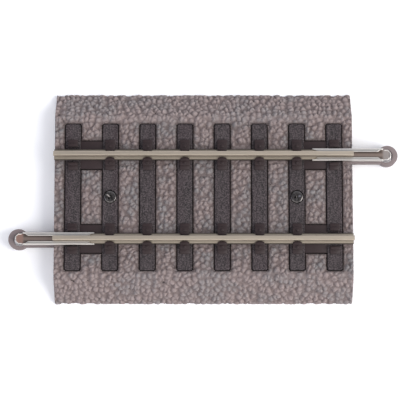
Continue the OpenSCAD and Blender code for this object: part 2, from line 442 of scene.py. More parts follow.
def smooth(piece, angle):
    """Smooth shading, with a crisp line at every edge sharper than the angle."""
    for polygon in piece.data.polygons:
        polygon.use_smooth = True
    bm = bmesh.new()
    bm.from_mesh(piece.data)
    limit = math.radians(angle)
    for edge in bm.edges:
        edge.smooth = len(edge.link_faces) == 2 and edge.calc_face_angle(0.0) < limit
    bm.to_mesh(piece.data)
    bm.free()


# ---------------------------------------------------------------- materials


def tint(rgb, factor):
    return tuple(min(1.0, c * factor) for c in rgb)


def stone_material(ballast):
    """Moulded ballast: each stone its own grey-brown, cooler in patches, with painted shade in the gaps
    between stones and near the sleeper pockets and rails.
    """
    m = Sheet("moulded_ballast")
    where = m.place()
    shade = m.attribute("stone_shade")
    height = m.attribute("stone_height")
    patch = m.noise(where, 190.0, 2.0)
    blotch = m.noise(where, 700.0, 2.0)
    speck = m.noise(where, 3000.0, 3.0, 0.6)
    warm, cool = tuple(ballast.stone_warm), tuple(ballast.stone_cool)
    base = m.mix(patch.above(0.52, 0.09) * 0.75, warm, cool)
    base = m.mix(blotch.above(0.55, 0.16) * 0.30, base, tint(warm, 0.72))
    base = m.mix(0.34 - shade * 0.34, base, tint(warm, 0.55))
    # Painted shade: the low ground between the stones' domes is darkened towards the crevice colour.
    gap = 1 - height.above(0.36, 0.34)
    base = m.mix(gap * 0.64, base, tuple(ballast.crevice_shade))
    # Painted shade: the ground next to the sleepers and rails is darkened where they would shade it.
    base = m.mix(m.attribute("pocket_near") ** 1.6 * 0.85, base, tint(tuple(ballast.crevice_shade), 0.55))
    base = m.mix((speck - 0.5) * 0.8 + 0.06, base, tint(warm, 1.5))
    open_ground = abs(m.axes(where)[1]).above(GRID_HI.y + 0.4 * MM, 0.6 * MM)
    base = m.mix(open_ground * 0.22, base, tint(warm, 1.40))
    return m.finish(
        Base_Color=base,
        Roughness=0.74 + speck * 0.16,
        Specular_IOR_Level=0.25,
        Normal=m.bump(speck, 0.45, 0.00006),
    )


def moulding_material(ballast):
    """Bare grey-brown moulding: matt, faintly mottled, with painted shade down in the sleeper pockets.
    """
    m = Sheet("grey_brown_moulding")
    where = m.place()
    x, y, z = m.axes(where)
    fine = m.noise(where, 1500.0, 4.0)
    broad = m.noise(where, 160.0, 2.0)
    plastic = tuple(ballast.moulding)
    base = m.mix(broad, tint(plastic, 0.88), tint(plastic, 1.18))
    # Painted shade: the pocket walls and floors below the stones are coloured near black.
    pocket_shade = z.above(3.3 * MM, 0.15 * MM) * (1 - abs(x).above(BED_END - 0.3 * MM, 0.1 * MM))
    pocket_shade = pocket_shade * (1 - z.above(3.9 * MM, 0.04 * MM))
    base = m.mix(pocket_shade * 0.85, base, (0.016, 0.011, 0.011))
    return m.finish(
        Base_Color=base,
        Roughness=0.5 + fine * 0.2,
        Specular_IOR_Level=0.3,
        Normal=m.bump(fine, 0.25, 0.00005),
    )


def sleeper_material(sleepers):
    """Dark brown plastic with wood grain along each sleeper."""
    m = Sheet("sleeper_plastic_grain")
    where = m.place()
    streak = m.noise(m.scaled(where, (1.0, 0.22, 1.0)), 2300.0, 4.0, 0.7)
    speck = m.noise(where, 3600.0, 2.0, 0.7)
    board = m.noise(m.scaled(where, (1.0, 0.05, 0.0)), 260.0, 1.0)
    cut = m.attribute("grain")
    plastic = tuple(sleepers.plastic)
    base = m.mix(streak.above(0.5, 0.16), tint(plastic, 0.48), tint(plastic, 1.55))
    redder = (plastic[0] * 1.05, plastic[1] * 0.80, plastic[2] * 0.92)
    base = m.mix(board.above(0.55, 0.12) * 0.45, base, redder)
    base = m.mix(cut * 0.6, base, tint(plastic, 0.35))
    base = m.mix(speck.above(0.56, 0.06) * 0.75, base, tint(plastic, 2.7))
    base = m.mix((1 - speck.above(0.44, 0.06)) * 0.70, base, tint(plastic, 0.28))
    return m.finish(
        Base_Color=base,
        Roughness=0.56 + streak * 0.16,
        Specular_IOR_Level=0.3,
        Normal=m.bump(streak + speck * 0.5, 0.4, 0.00005),
    )


def smooth_plastic_material(name, rgb):
    """Smooth, slightly satin moulding."""
    m = Sheet(name)
    where = m.place()
    haze = m.noise(where, 900.0, 3.0)
    fine = m.noise(where, 6000.0, 2.0)
    base = m.mix(haze, tint(rgb, 0.85), tint(rgb, 1.2))
    return m.finish(
        Base_Color=base,
        Roughness=0.42 + haze * 0.16,
        Specular_IOR_Level=0.3,
        Normal=m.bump(fine, 0.12, 0.00003),
    )


def rail_material(rails):
    """Drawn nickel silver: fine lengthwise scratches, duller on web and foot, darker along the foot's
    edge, with painted shade under the head.
    """
    m = Sheet("drawn_nickel_silver")
    where = m.place()
    x, y, z = m.axes(where)
    draw = m.noise(m.scaled(where, (0.012, 1.0, 1.0)), 9000.0, 3.0, 0.65)
    broad = m.noise(m.scaled(where, (0.4, 1.0, 1.0)), 240.0, 2.0)
    head = z.above(RAIL_TOP - 0.75 * MM, 0.2 * MM)
    metal = tuple(rails.metal)
    bright = m.mix(draw, tint(metal, 0.82), tint(metal, 1.16))
    dull = m.mix(broad, tint(metal, 0.52), tint(metal, 0.78))
    base = m.mix(head, dull, bright)
    off = abs(abs(y) - RAIL_Y)
    # Darker along the outer edge of the foot.
    rim = off.above(0.94 * MM, 0.07 * MM) * 0.70
    # Painted shade: the web and foot just under the head's overhang are darkened.
    under_head_shade = (1 - off.above(0.64 * MM, 0.10 * MM)) * (1 - head) * 0.45
    base = m.mix(rim + under_head_shade, base, tint(metal, 0.13))
    return m.finish(
        Base_Color=base,
        Metallic=1.0,
        Roughness=(0.36 + draw * 0.16) - head * 0.04,
        Normal=m.bump(draw, 0.16, 0.00003),
    )


def joiner_material(joiners):
    """Bright rolled sheet with painted highlights along its folds and edges, browned where it lies flat
    between the lips, with painted shade under the lips and a painted reflection on the tips.
    """
    m = Sheet("bright_joiner_sheet")
    where = m.place()
    roll = m.noise(m.scaled(where, (0.03, 1.0, 1.0)), 3600.0, 2.0, 0.5)
    cloud = m.noise(where, 700.0, 3.0)
    channel = m.attribute("channel_floor")
    edge_highlight = m.attribute("worn_edge")
    x, y, z = m.axes(where)
    metal = tuple(joiners.metal)
    base = m.mix(roll, tint(metal, 0.62), tint(metal, 0.80))
    # Painted highlight: the folds and the lips' edges are made brighter.
    base = m.mix(edge_highlight, base, tint(metal, 0.95))
    # Painted reflection: the left tip takes the reddish colour and the right tip the greyer one.
    tip = m.mix(x.above(0.0, 1.0 * MM), tuple(joiners.tip), tuple(joiners.right_tip))
    past_rail = abs(x) - RAIL_END
    brown = m.mix(past_rail.above(6.3 * MM, 0.35 * MM), tuple(joiners.channel), tip)
    off = abs(abs(y) - RAIL_Y)
    # Painted shade: the channel floor is darkened under the lips' edges.
    under_lip_shade = off.above(0.33 * MM, 0.16 * MM) * (1 - past_rail.above(6.2 * MM, 0.3 * MM))
    brown = m.mix(under_lip_shade * 0.75, brown, tint(tuple(joiners.channel), 0.3))
    base = m.mix(channel * (0.86 + cloud * 0.14), base, brown)
    return m.finish(
        Base_Color=base,
        Metallic=1.0,
        Roughness=0.28 + cloud * 0.06 + channel * 0.14,
        Normal=m.bump(roll, 0.04, 0.00003),
    )


def screw_material(screws):
    """Blackened steel with worn, shiny burrs."""
    m = Sheet("blackened_screw")
    where = m.place()
    wear_and_sheen = m.noise(where, 3200.0, 4.0)
    metal = tuple(screws.metal)
    base = m.mix(wear_and_sheen.above(0.6, 0.1) * 0.5, metal, tint(metal, 3.0))
    return m.finish(
        Base_Color=base,
        Metallic=0.85,
        Roughness=0.12 + wear_and_sheen * 0.20,
        Normal=m.bump(wear_and_sheen, 0.2, 0.00004),
    )


def floor_material(stage):
    """Plain pale floor with the faintest unevenness."""
    m = Sheet("pale_floor")
    where = m.place()
    soft = m.noise(where, 6.0, 2.0)
    floor = tuple(stage.floor)
    return m.finish(
        Base_Color=m.mix(soft, tint(floor, 0.995), floor),
        Roughness=0.9,
        Specular_IOR_Level=0.2,
        Emission_Color=(1.0, 1.0, 1.0),
        Emission_Strength=0.10,
    )


# ---------------------------------------------------------------- ballast


def ruled(breaks, step):
    """Grid lines through every break, no further apart than step."""
    lines = [breaks[0]]
    for low, high in zip(breaks, breaks[1:]):
        parts = max(1, math.ceil((high - low) / step))
        lines += [low + (high - low) * k / parts for k in range(1, parts + 1)]
    return np.array(lines)


def pockets(ballast, sleepers):
    """The rectangles where the sleeper moulding comes through the stones, in X and Y."""
    gap = ballast.pocket_gap
    half_w, half_l = sleepers.width / 2 + gap, sleepers.span / 2 + gap
    centres = [(i - OUTER_STEP) * PITCH for i in range(SLEEPERS)]
    holes = [(c - half_w, c + half_w, -half_l, half_l) for c in centres]
    for side in (-1, 1):
        y = side * RAIL_Y
        slot, web = sleepers.slot_half + gap, sleepers.web_half + gap
        holes.append((centres[0], centres[-1], y - slot, y + slot))
        for low, high in ((centres[0], centres[1]), (centres[-2], centres[-1])):
            holes.append((low, high, y - web, y + web))
    return holes


def flat_slab(x_lines, y_lines, holes, depth):
    """A closed slab with a fine flat top and the holes left out."""
    nx, ny = len(x_lines), len(y_lines)
    mid_x, mid_y = (x_lines[1:] + x_lines[:-1]) / 2, (y_lines[1:] + y_lines[:-1]) / 2
    mx, my = np.meshgrid(mid_x, mid_y)
    keep = np.ones(mx.shape, bool)
    for x0, x1, y0, y1 in holes:
        keep &= ~((mx > x0) & (mx < x1) & (my > y0) & (my < y1))
    j, i = np.nonzero(keep)
    corner = j * nx + i
    quads = np.stack([corner, corner + 1, corner + nx + 1, corner + nx], axis=1)
    used, quads = np.unique(quads, return_inverse=True)
    quads = quads.reshape(-1, 4)
    gx, gy = np.meshgrid(x_lines, y_lines)
    points = np.stack([gx.ravel()[used], gy.ravel()[used], np.zeros(len(used))], axis=1)
    host = mesh_object("flat_slab", points.tolist(), quads.tolist())
    bm = bmesh.new()
    bm.from_mesh(host.data)
    rim = [e for e in bm.edges if e.is_boundary]
    made = bmesh.ops.extrude_edge_only(bm, edges=rim)["geom"]
    for v in (g for g in made if isinstance(g, bmesh.types.BMVert)):
        v.co.z -= depth
    lower = [e for e in bm.edges if e.is_boundary]
    bmesh.ops.triangle_fill(bm, use_beauty=True, edges=lower)
    bmesh.ops.recalc_face_normals(bm, faces=bm.faces)
    points, faces = settled(bm)
    bm.free()
    host.data.clear_geometry()
    host.data.from_pydata(points, [], faces)
    host.data.update()
    return host


def settled(bm):
    """The points and faces in the order of their places, because extrude and fill number them anew."""
    verts = sorted(bm.verts, key=lambda v: tuple(v.co))
    rank = {v: n for n, v in enumerate(verts)}
    faces = []
    for face in bm.faces:
        loop = [rank[v] for v in face.verts]
        starts = range(0, len(loop), 2 if len(loop) == 4 else 1)  # a quad keeps its diagonal
        first = min(starts, key=loop.__getitem__)
        faces.append(tuple(loop[first:] + loop[:first]))
    return [tuple(v.co) for v in verts], sorted(faces)


def raise_stones(name, host, ballast, material):
    """Raises close-packed stones out of a flat slab's top with geometry nodes."""
    tree = Tree(name + "_nodes")
    size = tree.ask("Stone size", "Float", ballast.stone_size)
    relief = tree.ask("Relief", "Float", ballast.relief)
    wander = tree.ask("Wander", "Float", ballast.wander)
    seed = tree.ask("Seed", "Int", ballast.seed)
    place = tree.add("GeometryNodeInputPosition")
    on_top = tree.axes(place)[2] > -0.01 * MM
    level, centre = (1.0, 1.0, 0.0), (0.5, 0.5, 0.5)
    flat = tree.vector("ADD", tree.scaled(place, level), tree.xyz(seed * 0.0137, seed * 0.0291))
    stray = tree.vector("SUBTRACT", tree.noise(flat, 1100.0, 2.0, 0.5, "Color"), centre)
    where = tree.scaled(tree.vector("ADD", flat, tree.stretched(stray, wander * 2.4)), level)
    packed = {"Vector": where, "Scale": 1.0 / size, "Randomness": 0.92}
    in_plan = {"voronoi_dimensions": "2D"}
    cell = tree.add("ShaderNodeTexVoronoi", {**in_plan, "feature": "F1"}, packed, "Color")
    to_edge = {**in_plan, "feature": "DISTANCE_TO_EDGE"}
    rim = tree.add("ShaderNodeTexVoronoi", to_edge, packed, "Distance")
    reach = cell.beside("Distance") / 0.66
    round_top = tree.add("ShaderNodeClamp", values=[1.0 - reach**1.9])
    soft = {"interpolation_type": "SMOOTHSTEP"}
    flank = tree.add("ShaderNodeMapRange", soft, {"Value": rim, "From Max": 0.30})
    dome = round_top * (0.45 + flank * 0.55)
    lean = tree.vector("SUBTRACT", cell, centre)
    arm = tree.stretched(tree.vector("SUBTRACT", where, cell.beside("Position")), 1.0 / size)
    tilt = tree.vector("DOT_PRODUCT", arm, lean, "Value")
    shade = tree.axes(cell)[2]
    rough = tree.noise(flat, 1700.0, 2.0, 0.5)
    body = dome * (0.62 + shade * 0.42) + tilt * 0.75 + (rough - 0.5) * 0.62
    geometry = tree.store(tree.given(), "stone_shade", shade)
    geometry = tree.store(geometry, "stone_height", dome * on_top)
    return tree.run(tree.raised(geometry, body * relief * on_top), material, host, name)


def distance_to_holes(x, y, holes):
    """How far each point lies from the nearest pocket."""
    nearest = np.full(len(x), 1.0)
    for x0, x1, y0, y1 in holes:
        dx = np.maximum(np.maximum(x0 - x, x - x1), 0)
        dy = np.maximum(np.maximum(y0 - y, y - y1), 0)
        nearest = np.minimum(nearest, np.hypot(dx, dy))
    return nearest


def bend_to_bed(piece, ballast, holes):
    """Folds the flat relief down over the bed's shoulders and keeps it below rails and joiners."""
    mesh = piece.data
    points = coordinates(mesh)
    x, across, h = points.T.copy()
    apart = distance_to_holes(x, across, holes)
    pocket_fade, rail_fade, least = 0.75 * MM, 1.3 * MM, 0.015 * MM
    near = np.clip(1 - apart / pocket_fade, 0, 1)
    rail_near = np.clip(1 - (np.abs(np.abs(across) - RAIL_Y) - 0.9 * MM) / rail_fade, 0, 1)
    # The stored closeness to pockets and rails drives painted shade in the stone material.
    put_attribute(mesh, "pocket_near", np.maximum(near, rail_near))
    h = np.where(h > 0, h * (1 - 0.85 * near**1.5), h)
    long_slope = math.hypot(BED_HI.y - ballast.top_half, ballast.bed_top - ballast.edge_height)
    at_foot = np.clip((np.abs(across) - ballast.top_half - long_slope) / (0.5 * MM) + 1, 0, 1)
    h = np.where(h > 0, h + at_foot * (0.16 * MM + 0.45 * h - h), h)
    h = np.maximum(h, -ballast.slab)
    on_top = h > -0.2 * MM
    h = np.where(on_top, np.maximum(h, least), h)
    under_rail = on_top & (np.abs(np.abs(across) - RAIL_Y) < 1.8 * MM)
    room = SLEEPER_TOP - 0.27 * MM - ballast.bed_top
    h = np.where(under_rail, room * np.tanh(h / room), h)
    run, drop = BED_HI.y - ballast.top_half, ballast.bed_top - ballast.edge_height
    slope = math.atan2(drop, run)
    s = np.abs(across)
    past = np.maximum(s - ballast.top_half, 0.0)
    y = np.minimum(s, ballast.top_half) + past * math.cos(slope)
    z = ballast.bed_top - past * math.sin(slope)
    turn = slope * np.clip((s - ballast.top_half) / (1.2 * MM) + 0.5, 0, 1)
    y = np.sign(across) * (y + h * np.sin(turn))
    z = np.maximum(z + h * np.cos(turn), 0.02 * MM)
    put_coordinates(mesh, np.stack([x, y, z], axis=1))


def ballast_slabs(ballast, holes):
    """The flat slabs to raise stones on: the top with its pockets, and the two shoulders."""
    end, half, step = BED_END - 0.03 * MM, ballast.top_half, ballast.step
    x_breaks = sorted({-end, end} | {v for hole in holes[:SLEEPERS] for v in hole[:2]})
    y_breaks = sorted({-half, half} | {v for hole in holes for v in hole[2:]})
    yield "top", flat_slab(ruled(x_breaks, step), ruled(y_breaks, step), holes, ballast.slab)
    long_slope = math.hypot(BED_HI.y - half, ballast.bed_top - ballast.edge_height)
    foot = half + long_slope + 0.08 * MM
    for name, low, high in (("front", -foot, -half), ("back", half, foot)):
        yield name, flat_slab(ruled(x_breaks, step), ruled([low, high], step), [], ballast.slab)


class TRACK_OT_ballast(bpy.types.Operator):
    """Lay the ballast stones over the bed and finish the bare moulding"""

    bl_idname = "track.ballast"
    bl_label = "Ballast"

    def execute(self, context):
        ballast, sleepers = context.scene.track_ballast, context.scene.track_sleepers
        material = stone_material(ballast)
        holes = pockets(ballast, sleepers)
        for name, slab in ballast_slabs(ballast, holes):
            piece = raise_stones(f"ballast_stones_{name}", slab, ballast, material)
            bend_to_bed(piece, ballast, holes)
            for polygon in piece.data.polygons:
                polygon.use_smooth = True
            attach(piece, TRACK)
        shell = bed_shell(moulding_material(ballast))
        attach(shell, TRACK)
        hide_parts("ballast_bed")
        return {"FINISHED"}


def bed_shell(material):
    """The bed's moulding from a merged copy of its CAD mesh: edges eased, top sunk under the stones."""
    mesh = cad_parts["ballast_bed"].data.copy()
    bm = bmesh.new()
    bm.from_mesh(mesh)
    bmesh.ops.remove_doubles(bm, verts=bm.verts, dist=0.002 * MM)
    bmesh.ops.dissolve_limit(bm, angle_limit=math.radians(1), verts=bm.verts, edges=bm.edges)
    bm.to_mesh(mesh)
    bm.free()
    mesh.materials.clear()
    mesh.materials.append(material)
    shell = new_piece("bed_shell", mesh)
    ease_edges(shell, 0.12 * MM, 3, 35)
    points = coordinates(shell.data)
    top_layer, sink = 0.15 * MM, 0.14 * MM
    points[points[:, 2] > points[:, 2].max() - top_layer, 2] -= sink
    put_coordinates(shell.data, points)
    smooth(shell, 50)
    return shell


# ---------------------------------------------------------------- sleepers


SLEEPER_GRID = (33, 150)


def slab_top(width, span, corner):
    """Fine grid over one sleeper, rounded at its corners and edges, as points and faces."""
    nx, ny = SLEEPER_GRID
    half_w, half_l = width / 2, span / 2
    inset, round_edge = half_w - corner, 0.13 * MM
    points = []
    for j in range(ny):
        for i in range(nx):
            x = (2 * i / (nx - 1) - 1) * half_w
            limit_y = half_l
            if abs(x) > inset:
                bow = abs(x) - inset
                limit_y = half_l - corner + math.sqrt(max(corner**2 - bow**2, 0.0))
            y = (2 * j / (ny - 1) - 1) * limit_y
            edge = min(half_w - abs(x), limit_y - abs(y))
            drop = 0.0
            if edge < round_edge:
                drop = round_edge - math.sqrt(max(round_edge**2 - (round_edge - edge) ** 2, 0.0))
            points.append((x, y, -drop))
    corners = (j * nx + i for j in range(ny - 1) for i in range(nx - 1))
    return points, [(a, a + 1, a + nx + 1, a + nx) for a in corners]


def close_below(points, faces, depth):
    """Adds the sleeper's walls and underside below its grid."""
    nx, ny = SLEEPER_GRID
    ring = list(range(nx))
    ring += [j * nx + nx - 1 for j in range(1, ny)]
    ring += [(ny - 1) * nx + i for i in range(nx - 2, -1, -1)]
    ring += [j * nx for j in range(ny - 2, 0, -1)]
    first, n = len(points), len(ring)
    points += [(points[k][0], points[k][1], -depth) for k in ring]
    for k in range(n):
        faces.append((ring[k], first + k, first + (k + 1) % n, ring[(k + 1) % n]))
    faces.append(tuple(first + k for k in range(n - 1, -1, -1)))


def lay_sleepers(sleepers, material):
    """Eight sleepers in a row, each with its own grain, from geometry nodes."""
    points, faces = slab_top(sleepers.width, sleepers.span, sleepers.corner)
    close_below(points, faces, sleepers.thickness)
    host = mesh_object("sleeper_slab", points, faces)
    tree = Tree("sleeper_row_nodes")
    pitch = tree.ask("Pitch", "Float", PITCH)
    count = tree.ask("Count", "Int", SLEEPERS)
    top = tree.ask("Top", "Float", SLEEPER_TOP)
    depth = tree.ask("Grain depth", "Float", sleepers.grain_depth)
    row = tree.row(count, tree.xyz(pitch * -OUTER_STEP, z=top), tree.xyz(pitch))
    solid = tree.add("GeometryNodeRealizeInstances", values=[tree.lay(row)])
    place = tree.add("GeometryNodeInputPosition")
    fibre = tree.noise(tree.scaled(place, (1.0, 0.16, 0.0)), 3300.0, 2.0, 0.6)
    crack = tree.noise(tree.scaled(place, (1.0, 0.06, 0.0)), 1300.0, 1.0, 0.5)
    crack_range = {"Value": crack, "From Min": 0.60, "From Max": 0.68}
    furrow = tree.add("ShaderNodeMapRange", values=crack_range)
    on_top = tree.axes(place)[2] > top - 0.1 * MM
    marked = tree.store(solid, "grain", furrow * on_top)
    sunk = (fibre * 0.7 + furrow * 0.6) * depth * (on_top * -1.0)
    return tree.run(tree.raised(marked, sunk), material, host, "sleepers")


def shape_sleepers(piece, sleepers):
    """Sinks the joiner recesses into the outer sleepers and the screw wells into their neighbours."""
    mesh = piece.data
    points = coordinates(mesh)
    x, y, z = points.T
    upper = z > SLEEPER_TOP - 0.35 * MM
    outer = np.abs(np.abs(x) - OUTER_STEP * PITCH) < HALF_SLEEPER + 0.15 * MM
    off_rail = np.abs(np.abs(y) - RAIL_Y)
    step = sleepers.span / (SLEEPER_GRID[1] - 1)
    near = outer & upper & (np.abs(off_rail - sleepers.recess_half) < step * 0.5)
    sign = np.sign(y)
    snapped = sign * (RAIL_Y + np.sign(np.abs(y) - RAIL_Y) * sleepers.recess_half)
    points[near, 1] = snapped[near]
    deep = outer & upper & (off_rail < sleepers.recess_half - step * 0.5)
    points[deep, 2] = sleepers.web_top - (SLEEPER_TOP - points[deep, 2]) * 0.3
    sink_wells(points, upper, sleepers)
    put_coordinates(mesh, points)


def sink_wells(points, upper, sleepers):
    """Sinks the round screw wells, with the grid points nearest the rim moved onto the circle."""
    side = np.sign(points[:, 0])
    dx, dy = np.abs(points[:, 0]) - SCREW_X, points[:, 1].copy()
    reach = np.maximum(np.hypot(dx, dy), 0.01 * MM)
    columns, rows = SLEEPER_GRID
    cell_x, cell_y = sleepers.width / (columns - 1), sleepers.span / (rows - 1)
    cell = (np.abs(dx) * cell_x + np.abs(dy) * cell_y) / reach
    inward = (sleepers.well - reach) / cell
    lip, floor = SLEEPER_TOP + 0.03 * MM, SLEEPER_TOP - 0.60 * MM
    rings = (
        (np.abs(inward) <= 0.5, sleepers.well, lip),
        ((inward > 0.5) & (inward <= 1.5), sleepers.well - 0.05 * MM, floor),
        (inward > 1.5, None, floor),
    )
    for where, radius, height in rings:
        where = where & upper
        if radius:
            points[where, 0] = side[where] * (SCREW_X + dx[where] * radius / reach[where])
            points[where, 1] = dy[where] * radius / reach[where]
        points[where, 2] = height


def chair_shape(inner_mm):
    """A rail chair about the rail's centre, or only its outer pads where inner_mm leaves no jaw."""
    bm = bmesh.new()

    def slab(outline, z0, z1):
        area = sum(a[0] * b[1] - b[0] * a[1] for a, b in zip(outline, outline[1:] + outline[:1]))
        outline = outline if area > 0 else outline[::-1]
        low = [bm.verts.new((px, py, z0 * MM)) for px, py in outline]
        high = [bm.verts.new((px, py, z1 * MM)) for px, py in outline]
        n = len(outline)
        bm.faces.new(high)
        bm.faces.new(low[::-1])
        for k in range(n):
            bm.faces.new((low[k], low[(k + 1) % n], high[(k + 1) % n], high[k]))

    half, slope_in = 1.02 * MM, 0.2 * MM
    whole = inner_mm < 1.5
    half_turn = [math.pi * k / 8 for k in range(9)]
    for side in (-1, 1):
        plate = [(-half, inner_mm), (half, inner_mm), (half, 3.0)]
        plate += [(half - slope_in, 3.17), (slope_in - half, 3.17), (-half, 3.0)]
        bow = [(half * math.cos(turn), 2.12 + 0.22 * math.sin(turn)) for turn in half_turn]
        jaw = [(-half, inner_mm), (half, inner_mm)] + bow
        shapes = [(plate, -0.1, 0.34), (jaw, -0.1, 0.70)]
        if whole:
            arc = [(-half * math.cos(t) * 0.97, 1.12 - 0.58 * math.sin(t) ** 0.7) for t in half_turn]
            shapes.append(([(half * 0.97, 1.3), (-half * 0.97, 1.3)] + arc, 0.47, 0.84))
            sixths = [math.pi * k / 3 for k in range(6)]
            bolt = [(0.34 * MM * math.cos(t), 1.72 + 0.34 * math.sin(t)) for t in sixths]
            shapes.append((bolt, 0.6, 0.90))
        for outline, z0, z1 in shapes:
            slab([(px, side * py * MM) for px, py in outline], z0, z1)
    bmesh.ops.recalc_face_normals(bm, faces=bm.faces)
    chair = piece_from(bm, "chair_shape")
    ease_edges(chair, 0.07 * MM, 2, 40)
    return chair


def lay_chairs(name, inner_mm, count, spacing, material):
    """A row of chairs or pads under each rail, from geometry nodes."""
    host = chair_shape(inner_mm)
    tree = Tree(name + "_nodes")
    pitch = tree.ask("Spacing", "Float", spacing)
    number = tree.ask("Count", "Int", count)
    apart = tree.ask("Rail centres", "Float", 2 * RAIL_Y)
    top = tree.ask("Top", "Float", SLEEPER_TOP)
    first = pitch * ((number - 1.0) * -0.5)
    joined = tree.add("GeometryNodeJoinGeometry")
    for side in (-0.5, 0.5):
        row = tree.row(number, tree.xyz(first, apart * side, top), tree.xyz(pitch))
        tree.put(joined.socket.node.inputs[0], row)
    return tree.run(tree.lay(joined), material, host, name)


def web_boxes(sleepers, material):
    """The webs that join the sleepers: narrow under the rails, wide at both ends."""
    bm = bmesh.new()

    def box(low, high):
        size = Vector(high) - Vector(low)
        made = bmesh.ops.create_cube(bm, size=1.0)["verts"]
        middle = (Vector(high) + Vector(low)) / 2
        for v in made:
            v.co = Vector((v.co.x * size.x, v.co.y * size.y, v.co.z * size.z)) + middle

    under = SLEEPER_TOP - sleepers.thickness
    half_w = sleepers.width / 2
    for side in (-1, 1):
        y = side * RAIL_Y
        for i in range(1, 6):
            x = (i - OUTER_STEP) * PITCH
            box(
                (x + half_w - 0.05 * MM, y - sleepers.slot_half, under),
                (x + PITCH - half_w + 0.05 * MM, y + sleepers.slot_half, SLEEPER_TOP - 0.1 * MM),
            )
        for first in (-OUTER_STEP, OUTER_STEP - 1):
            x = first * PITCH
            box(
                (x + half_w - 0.1 * MM, y - sleepers.web_half, under),
                (x + PITCH - half_w + 0.1 * MM, y + sleepers.web_half, sleepers.web_top),
            )
    webs = piece_from(bm, "sleeper_webs")
    webs.data.materials.append(material)
    ease_edges(webs, 0.09 * MM, 3, 30)
    smooth(webs, 50)
    return webs


class TRACK_OT_sleepers(bpy.types.Operator):
    """Lay the grained sleepers, their webs and the rail chairs"""

    bl_idname = "track.sleepers"
    bl_label = "Sleepers"

    def execute(self, context):
        sleepers = context.scene.track_sleepers
        grain = sleeper_material(sleepers)
        satin = smooth_plastic_material("web_plastic_satin", tuple(sleepers.web_plastic))
        slabs = lay_sleepers(sleepers, grain)
        shape_sleepers(slabs, sleepers)
        smooth(slabs, 35)
        chairs = lay_chairs("rail_chairs", 1.12, SLEEPERS - 2, PITCH, satin)
        pads = lay_chairs("end_pads", 1.62, 2, (SLEEPERS - 1) * PITCH, satin)
        webs = web_boxes(sleepers, satin)
        for piece in (chairs, pads):
            smooth(piece, 35)
        for piece in (slabs, chairs, pads, webs):
            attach(piece, TRACK)
        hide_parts("sleeper_grid")
        return {"FINISHED"}


# ---------------------------------------------------------------- rails


def rail_outline(rails):
    """Half of the rail's section, from the foot's middle to the head's middle, in Y and Z."""
    foot, web, head = rails.foot / 2, rails.web / 2, rails.head / 2
    tall = RAIL_TOP - SLEEPER_TOP
    half = [(0.0, 0.0), (foot - 0.04 * MM, 0.0), (foot, 0.05 * MM), (foot, 0.34 * MM)]
    half += [(foot - 0.09 * MM, 0.43 * MM), (0.5 * MM, 0.45 * MM), (0.36 * MM, 0.50 * MM)]
    half += [(web, 0.62 * MM), (web, 1.62 * MM)]
    half += [(web + 0.05 * MM, 1.72 * MM), (head, 1.82 * MM)]
    edge = 0.16 * MM
    for k in range(7):
        turn = math.pi / 2 * k / 6
        half.append((head - edge + edge * math.cos(turn), tall - edge + edge * math.sin(turn)))
    half.append((head * 0.3, tall))
    return half


def sweep_rail(name, y, rails, material):
    """Sweeps the rail's section along its line with geometry nodes."""
    half = rail_outline(rails)
    outline = [(a, b, 0.0) for a, b in half + [(-a, b) for a, b in reversed(half) if a > 0]]
    count = len(outline)
    ring = bpy.data.meshes.new(name + "_section")
    ring.from_pydata(outline, [(k, (k + 1) % count) for k in range(count)], [])
    host = new_piece(name + "_section", ring)
    tree = Tree(name + "_nodes")
    reach = tree.ask("Half length", "Float", RAIL_END)
    across = tree.ask("Rail centre", "Float", y)
    under = tree.ask("Foot height", "Float", SLEEPER_TOP)
    section = tree.add("GeometryNodeMeshToCurve", values={"Mesh": tree.given()})
    ends = {"Start": tree.xyz(reach * -1.0, across, under), "End": tree.xyz(reach, across, under)}
    line = tree.add("GeometryNodeCurvePrimitiveLine", values=ends)
    line = tree.add("GeometryNodeResampleCurve", values={"Curve": line, "Count": 40})
    sweep = {"Curve": line, "Profile Curve": section, "Fill Caps": True}
    swept = tree.add("GeometryNodeCurveToMesh", values=sweep)
    piece = tree.run(swept, material, host, name)
    turn_upright(piece, y)
    bm = bmesh.new()
    bm.from_mesh(piece.data)
    bmesh.ops.remove_doubles(bm, verts=bm.verts, dist=0.0005 * MM)
    bmesh.ops.recalc_face_normals(bm, faces=bm.faces)
    bm.to_mesh(piece.data)
    bm.free()
    smooth(piece, 30)
    return piece


def turn_upright(piece, y):
    """Turns a rail half round about its foot's line, because a sweep along X lays the head down."""
    points = coordinates(piece.data)
    points[:, 1] = y - (points[:, 1] - y)
    points[:, 2] = 2 * SLEEPER_TOP - points[:, 2]
    put_coordinates(piece.data, points)


class TRACK_OT_rails(bpy.types.Operator):
    """Sweep the two rails"""

    bl_idname = "track.rails"
    bl_label = "Rails"

    def execute(self, context):
        rails = context.scene.track_rails
        material = rail_material(rails)
        for node, y in (("front_rail", -RAIL_Y), ("back_rail", RAIL_Y)):
            piece = sweep_rail(node + "_bar", y, rails, material)
            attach(piece, TRACK)
            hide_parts(node)
        return {"FINISHED"}


# ---------------------------------------------------------------- joiners


